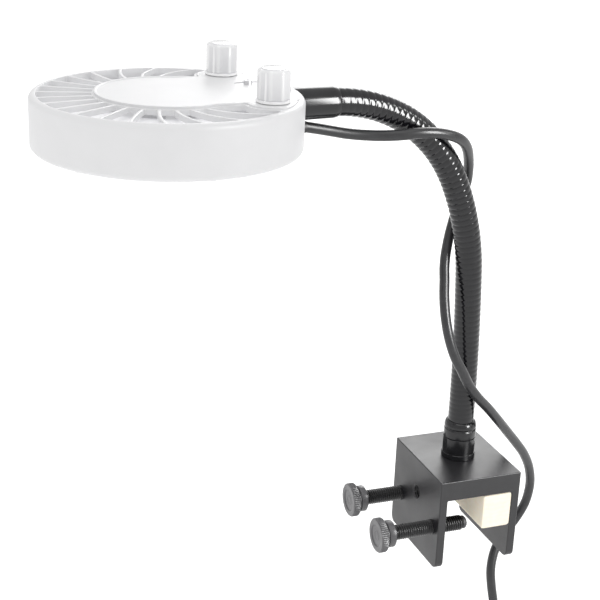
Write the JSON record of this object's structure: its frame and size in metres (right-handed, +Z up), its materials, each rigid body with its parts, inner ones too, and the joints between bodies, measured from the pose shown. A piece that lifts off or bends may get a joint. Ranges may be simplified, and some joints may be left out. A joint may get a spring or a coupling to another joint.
{
  "type": "led aquarium light",
  "caption": "Round flat LED lamp head with a vented top and dimmer knobs on a gooseneck, with a screw clamp that grips the rim of an aquarium.",
  "frame": {"origin": "seat of the tank's glass edge: the middle of the clamp channel's ceiling, midway between the screw tips and the spacer block", "axes": "+Z up, +X across the clamp from the thumbscrews towards the spacer block, +Y along the glass edge; the lamp head stands over -X"},
  "size_m": [0.2841, 0.12, 0.4849],
  "materials": {
    "anodised_black": "matte black anodised",
    "spacer_cream": "satin cream plastic",
    "screw_black": "black glass-filled nylon",
    "neck_gloss": "glossy black sleeve over wound steel",
    "ferrule_black": "gloss black lacquered steel",
    "spring_steel": "oiled spring steel",
    "head_white": "fine satin white powder coat on cast aluminium",
    "knob_white": "semi-gloss off-white",
    "heat_sink_grey": "dark grey anodised",
    "zinc": "bright zinc",
    "led_board_white": "white solder mask",
    "emitter": "phosphor",
    "clear_lens": "clear acrylic",
    "front_glass": "frosted glass",
    "rubber_black": "black silicone",
    "board_green": "green solder mask",
    "component_black": "moulded epoxy",
    "cord_black": "satin black PVC",
    "plug_metal": "nickel plated"
  },
  "bodies": {
    "root": {"clamp_bracket": "anodised_black", "spacer_block": "spacer_cream", "neck_stud": "zinc", "neck_base_collar": "ferrule_black", "neck_base_ferrule": "ferrule_black", "neck_sleeve_1": "neck_gloss", "neck_spring_1": "spring_steel", "cord_tail": "cord_black", "cord_hank": "cord_black", "hank_tie": "component_black", "plug_grip": "cord_black", "plug_barrel": "plug_metal"},
    "tip_front": {"screw_tip_front": "screw_black"},
    "tip_rear": {"screw_tip_rear": "screw_black"},
    "screw_front": {"thumbscrew_front": "screw_black"},
    "screw_rear": {"thumbscrew_rear": "screw_black"},
    "neck_2": {"neck_sleeve_2": "neck_gloss", "neck_spring_2": "spring_steel", "cord_span_2": "cord_black"},
    "neck_3": {"neck_sleeve_3": "neck_gloss", "neck_spring_3": "spring_steel", "cord_span_3": "cord_black"},
    "neck_4": {"neck_sleeve_4": "neck_gloss", "neck_spring_4": "spring_steel", "cord_span_4": "cord_black"},
    "neck_5": {"neck_sleeve_5": "neck_gloss", "neck_spring_5": "spring_steel", "cord_span_5": "cord_black"},
    "neck_6": {"neck_sleeve_6": "neck_gloss", "neck_spring_6": "spring_steel", "cord_span_6": "cord_black"},
    "head": {"neck_top_ferrule": "ferrule_black", "neck_anchor": "zinc", "anchor_screws": "zinc", "head_housing": "head_white", "control_plate": "head_white", "heat_sink": "heat_sink_grey", "heat_sink_screws": "zinc", "led_board": "led_board_white", "led_emitters": "emitter", "lens_plate": "clear_lens", "front_glass": "front_glass", "glass_gasket": "rubber_black", "bezel_ring": "head_white", "bezel_screws": "zinc", "driver_board": "board_green", "driver_parts": "component_black", "pot_left": "zinc", "pot_right": "zinc", "pot_nut_left": "zinc", "pot_nut_right": "zinc", "cord_gland": "rubber_black", "cord_head": "cord_black"},
    "knob_left": {"knob_left": "knob_white"},
    "knob_right": {"knob_right": "knob_white"}
  },
  "joints": [
    {"name": "neck_bend_low", "type": "hinge", "parent": "root", "child": "neck_2", "pos_m": [-0.00033, -0.00002, 0.06001], "axis": [0.061, -0.9981, 0], "range_deg": [-15, 12]},
    {"name": "neck_lean_low", "type": "hinge", "parent": "neck_2", "child": "neck_3", "pos_m": [-0.00287, -0.00017, 0.11431], "axis": [0.9957, 0.0609, 0.0698], "range_deg": [-20, 20]},
    {"name": "neck_bend_mid", "type": "hinge", "parent": "neck_3", "child": "neck_4", "pos_m": [-0.00983, -0.0006, 0.14859], "axis": [0.061, -0.9981, 0], "range_deg": [-20, 20]},
    {"name": "neck_lean_high", "type": "hinge", "parent": "neck_4", "child": "neck_5", "pos_m": [-0.0228, -0.00139, 0.17491], "axis": [0.8075, 0.0494, 0.5878], "range_deg": [-20, 20]},
    {"name": "neck_bend_high", "type": "hinge", "parent": "neck_5", "child": "neck_6", "pos_m": [-0.04096, -0.0025, 0.19264], "axis": [0.061, -0.9981, 0], "range_deg": [-22, 22]},
    {"name": "head_swing", "type": "hinge", "parent": "neck_6", "child": "head", "pos_m": [-0.0801, -0.0049, 0.20576], "axis": [0, 0, 1], "range_deg": [-25, 25]},
    {"name": "screw_feed_front", "type": "slide", "parent": "root", "child": "tip_front", "axis": [1, 0, 0], "range_m": [-0.015, 0.004]},
    {"name": "screw_turn_front", "type": "hinge", "parent": "tip_front", "child": "screw_front", "pos_m": [-0.023, -0.0195, -0.0185], "axis": [1, 0, 0], "range_deg": [-4325, 1156]},
    {"name": "screw_feed_rear", "type": "slide", "parent": "root", "child": "tip_rear", "axis": [1, 0, 0], "range_m": [-0.015, 0.004]},
    {"name": "screw_turn_rear", "type": "hinge", "parent": "tip_rear", "child": "screw_rear", "pos_m": [-0.0222, 0.0195, -0.0185], "axis": [1, 0, 0], "range_deg": [-4325, 1156]},
    {"name": "knob_left_turn", "type": "hinge", "parent": "head", "child": "knob_left", "pos_m": [-0.12845, 0.0231, 0.22183], "axis": [0, 0, 1], "range_deg": [-150, 150]},
    {"name": "knob_right_turn", "type": "hinge", "parent": "head", "child": "knob_right", "pos_m": [-0.12468, -0.03858, 0.22183], "axis": [0, 0, 1], "range_deg": [-150, 150]}
  ],
  "couplings": [
    {"joint": "screw_turn_front", "follows": "screw_feed_front", "rad_per_m": 5026.5},
    {"joint": "screw_turn_rear", "follows": "screw_feed_rear", "rad_per_m": 5026.5}
  ]
}
